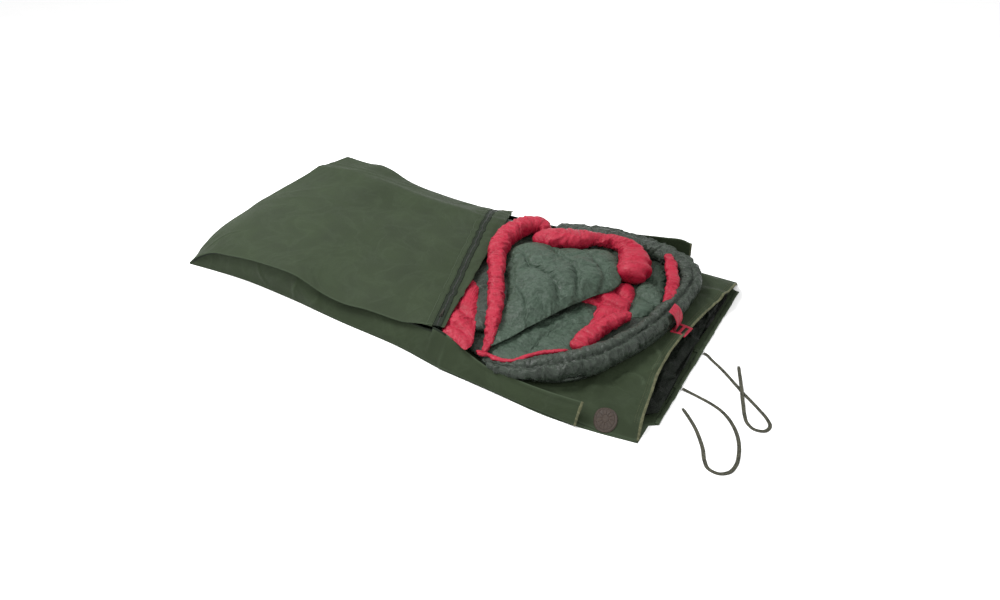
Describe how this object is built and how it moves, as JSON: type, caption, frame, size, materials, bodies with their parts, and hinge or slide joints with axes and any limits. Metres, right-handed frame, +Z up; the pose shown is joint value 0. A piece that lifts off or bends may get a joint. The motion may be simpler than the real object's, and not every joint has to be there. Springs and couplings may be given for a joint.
{
  "type": "bivy sack",
  "caption": "Canvas bivy sack lying open: padded groundsheet sleeve, low side walls, domed fold-back cover with a cross zip, two tie tapes and a turned-back mummy sleeping bag inside.",
  "frame": {"origin": "middle of the sack, on the underside of its groundsheet", "axes": "+X from the foot to the head, +Y towards the far side seam, +Z up"},
  "size_m": [2.4393, 1.1337, 0.1806],
  "materials": {
    "canvas": "waxed cotton canvas, matt with a faint sheen on the folds",
    "pale_hem": "undyed cotton selvedge",
    "zip_tape": "woven polyester zip tape",
    "zip_coil": "moulded nylon coil",
    "zip_metal": "dark painted die-cast",
    "leather": "blank embossed leather",
    "pad_cover": "thin coated nylon, crumpled",
    "shell": "calendered down-proof nylon",
    "lining": "soft nylon taffeta",
    "red_shell": "down-proof nylon",
    "black_plastic": "moulded acetal",
    "tie_tape": "flat cotton tape"
  },
  "bodies": {
    "sack": {"groundsheet": "canvas", "lip_hem": "pale_hem", "cord_tab_near": "canvas", "cord_tab_far": "canvas", "sleeve_top": "canvas", "mouth_hem": "pale_hem", "leather_patch": "leather", "near_wall": "canvas", "far_wall": "canvas", "foot_wall": "canvas", "near_side_zip": "zip_tape", "far_side_zip": "zip_tape", "foot_cover": "canvas", "tie_cord_near": "tie_tape", "tie_cord_far": "tie_tape"},
    "cover": {"head_cover": "canvas", "cover_hem": "canvas", "cover_facing": "canvas", "zip_tape_foot": "zip_tape", "zip_coil": "zip_coil", "zip_tape_head": "zip_tape"},
    "zip_slider": {"zip_slider": "zip_metal", "zip_bridge": "zip_metal"},
    "zip_pull": {"zip_pull": "zip_metal"},
    "near_flap": {"near_flap": "canvas", "near_flap_hem": "pale_hem"},
    "far_flap": {"far_flap": "canvas", "far_flap_hem": "pale_hem"},
    "pad": {"sleeping_pad": "pad_cover"},
    "bag": {"bag_base": "shell", "bag_top": "shell", "side_baffle_near": "shell", "side_baffle_far": "shell", "foot_baffle": "shell", "quilt_fold": "lining", "draft_tube": "red_shell", "collar_quilt": "red_shell", "collar_bulb": "red_shell", "collar_near": "red_shell", "rim_far": "shell", "rim_near": "shell", "corner_facing": "red_shell", "neck_lining": "red_shell", "bag_zip_tape": "red_shell", "bag_zip_coil": "zip_coil", "drawcord": "black_plastic"},
    "hood": {"hood_base": "shell", "hood_shell": "shell", "hood_lining": "lining", "hood_strip": "red_shell"},
    "hang_tab": {"hang_tab": "red_shell"},
    "bag_zip_slider": {"bag_zip_slider": "black_plastic"},
    "bag_zip_pull": {"bag_zip_pull": "black_plastic"},
    "cord_lock": {"cord_lock": "black_plastic"}
  },
  "joints": [
    {"name": "cover_fold", "type": "hinge", "parent": "sack", "child": "cover", "pos_m": [-0.45, 0, 0.178], "axis": [0, -1, 0], "range_deg": [0, 150]},
    {"name": "zip_slide", "type": "slide", "parent": "cover", "child": "zip_slider", "axis": [-0.3286, 0.9441, 0.0265], "range_m": [-0.03, 0.68]},
    {"name": "zip_pull_swing", "type": "hinge", "parent": "zip_slider", "child": "zip_pull", "pos_m": [0.22412, -0.43117, 0.12652], "axis": [0.9444, 0.3287, 0], "range_deg": [0, 150]},
    {"name": "near_flap_fold", "type": "hinge", "parent": "sack", "child": "near_flap", "pos_m": [0.575, -0.572, 0.006], "axis": [1, 0, 0], "range_deg": [0, 82]},
    {"name": "far_flap_fold", "type": "hinge", "parent": "sack", "child": "far_flap", "pos_m": [0.57, 0.542, 0.006], "axis": [-1, 0, 0], "range_deg": [0, 85]},
    {"name": "pad_slide", "type": "slide", "parent": "sack", "child": "pad", "axis": [1, 0, 0], "range_m": [0, 0.6]},
    {"name": "bag_slide", "type": "slide", "parent": "sack", "child": "bag", "axis": [1, 0, 0], "range_m": [0, 0.4]},
    {"name": "hood_fold", "type": "hinge", "parent": "bag", "child": "hood", "pos_m": [0.796, 0, 0.067], "axis": [0, -1, 0], "range_deg": [0, 50]},
    {"name": "hang_tab_lift", "type": "hinge", "parent": "hood", "child": "hang_tab", "pos_m": [0.95, 0.03, 0.0535], "axis": [-0.1197, -0.9928, 0], "range_deg": [0, 90]},
    {"name": "bag_zip_slide", "type": "slide", "parent": "bag", "child": "bag_zip_slider", "axis": [1, 0, 0], "range_m": [0, 0.095]},
    {"name": "bag_zip_pull_swing", "type": "hinge", "parent": "bag_zip_slider", "child": "bag_zip_pull", "pos_m": [0.442, -0.506, 0.0734], "axis": [0, -1, 0], "range_deg": [0, 100]},
    {"name": "cord_lock_slide", "type": "slide", "parent": "bag", "child": "cord_lock", "axis": [0, -1, 0], "range_m": [0, 0.035]}
  ]
}
